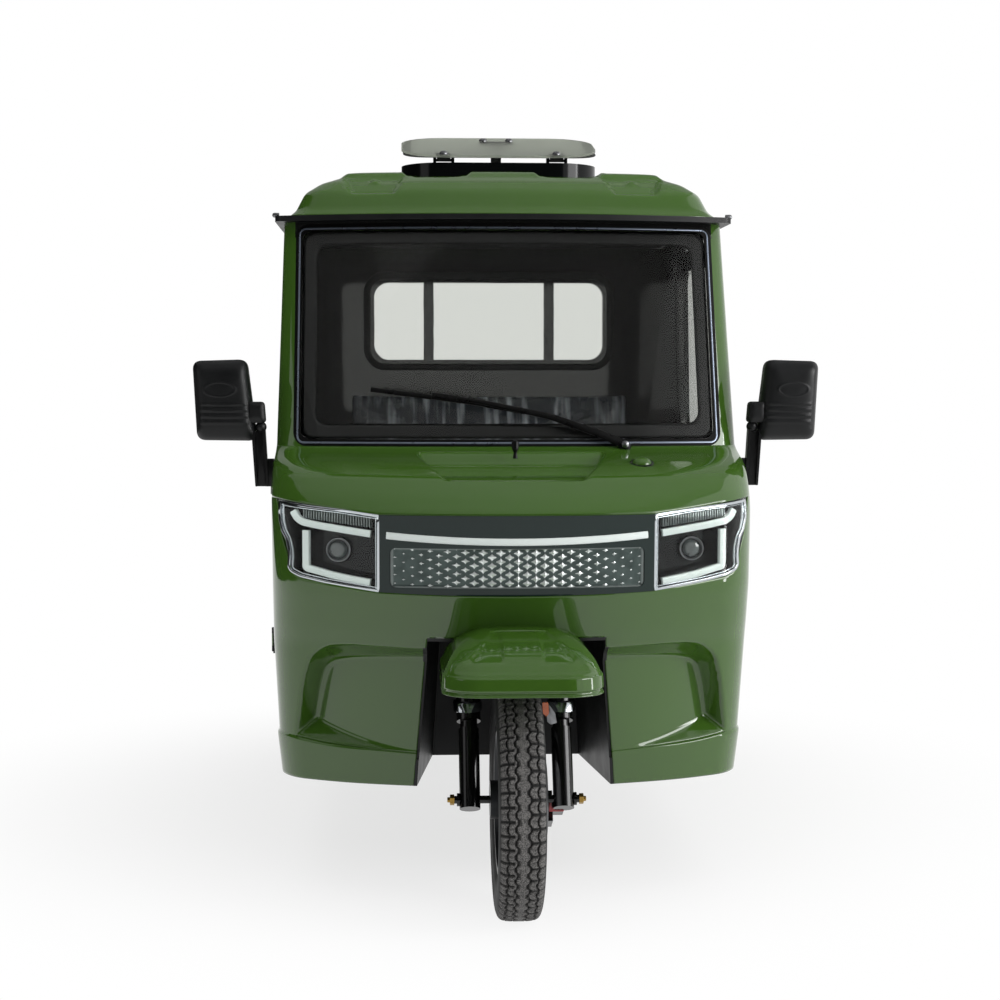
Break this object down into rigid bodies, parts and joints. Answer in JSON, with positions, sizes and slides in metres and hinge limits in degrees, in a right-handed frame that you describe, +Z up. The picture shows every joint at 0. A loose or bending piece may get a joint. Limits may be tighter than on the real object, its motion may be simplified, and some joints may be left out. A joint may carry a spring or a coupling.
{
  "type": "electric cargo tricycle",
  "caption": "Three-wheeled electric cargo tricycle with a closed two-door cab, sculpted nose and open drop-tail bed; wheels, steering, doors, hatch and tailgate move.",
  "frame": {"origin": "centre of the bounding box's footprint, on the ground under the wheels", "axes": "+Z up, the vehicle faces -Y, +X is its left side"},
  "size_m": [1.5516, 3.24, 1.9177],
  "materials": {
    "body_paint": "gloss green paint",
    "frame_paint": "satin black paint",
    "black_trim": "satin black moulding",
    "dark_gloss": "dark gloss moulding",
    "clear_glass": "clear",
    "clear_lens": "clear lens",
    "white_lens": "frosted light guide",
    "lamp_silver": "bright reflector",
    "red_lens": "red lens",
    "tyre_rubber": "worn-in rubber",
    "wheel_paint": "silver paint",
    "disc_steel": "ground steel",
    "seat_cover": "black vinyl",
    "spring_steel": "black spring steel"
  },
  "bodies": {
    "chassis": {"battery_box": "frame_paint", "bed_floor": "body_paint", "bed_walls": "body_paint", "bench_seat": "seat_cover", "cab_floor": "body_paint", "cab_sides": "body_paint", "chassis_frame": "frame_paint", "dashboard": "black_trim", "drive_axle": "frame_paint", "front_mudguard": "body_paint", "front_panel": "body_paint", "hatch_frame": "black_trim", "headlamp_housings": "lamp_silver", "headlamp_lenses": "clear_lens", "lamp_panel": "dark_gloss", "leaf_springs": "spring_steel", "light_guides": "white_lens", "mirrors": "black_trim", "rear_bumper": "frame_paint", "rear_mudguards": "black_trim", "rear_wall": "body_paint", "rear_window_glass": "clear_glass", "roof_cap": "body_paint", "roof_gutter": "black_trim", "tail_lamps": "red_lens", "wheel_well": "black_trim", "windscreen": "clear_glass", "windscreen_seal": "black_trim", "wiper": "black_trim"},
    "steering": {"fork": "frame_paint", "handlebar": "black_trim"},
    "front_wheel": {"front_rim": "wheel_paint", "front_tyre": "tyre_rubber", "front_brake_disc": "disc_steel"},
    "rear_wheel_left": {"rear_rim_left": "wheel_paint", "rear_tyre_left": "tyre_rubber"},
    "rear_wheel_right": {"rear_rim_right": "wheel_paint", "rear_tyre_right": "tyre_rubber"},
    "door_left": {"door_left": "body_paint", "door_glass_left": "clear_glass"},
    "door_right": {"door_right": "body_paint", "door_glass_right": "clear_glass"},
    "hatch": {"hatch_glass": "clear_glass", "hatch_fittings": "black_trim"},
    "tailgate": {"tailgate": "body_paint"}
  },
  "joints": [
    {"name": "steering", "type": "hinge", "parent": "chassis", "child": "steering", "pos_m": [0, -1.09479, 0.625], "axis": [0, 0.4384, 0.8988], "range_deg": [-35, 35]},
    {"name": "front_wheel_spin", "type": "hinge", "parent": "steering", "child": "front_wheel", "pos_m": [0, -1.31, 0.275], "axis": [1, 0, 0], "continuous": true},
    {"name": "rear_wheel_left_spin", "type": "hinge", "parent": "chassis", "child": "rear_wheel_left", "pos_m": [0.475, 0.88, 0.275], "axis": [1, 0, 0], "continuous": true},
    {"name": "rear_wheel_right_spin", "type": "hinge", "parent": "chassis", "child": "rear_wheel_right", "pos_m": [-0.475, 0.88, 0.275], "axis": [1, 0, 0], "continuous": true},
    {"name": "door_left_hinge", "type": "hinge", "parent": "chassis", "child": "door_left", "pos_m": [0.582, -0.862, 0.8], "axis": [0, 0, -1], "range_deg": [0, 65]},
    {"name": "door_right_hinge", "type": "hinge", "parent": "chassis", "child": "door_right", "pos_m": [-0.582, -0.862, 0.8], "axis": [0, 0, 1], "range_deg": [0, 65]},
    {"name": "hatch_hinge", "type": "hinge", "parent": "chassis", "child": "hatch", "pos_m": [0, -0.54, 1.822], "axis": [1, 0, 0], "range_deg": [-15, 0]},
    {"name": "tailgate_hinge", "type": "hinge", "parent": "chassis", "child": "tailgate", "pos_m": [0, 1.61, 0.598], "axis": [-1, 0, 0], "range_deg": [0, 90]}
  ]
}
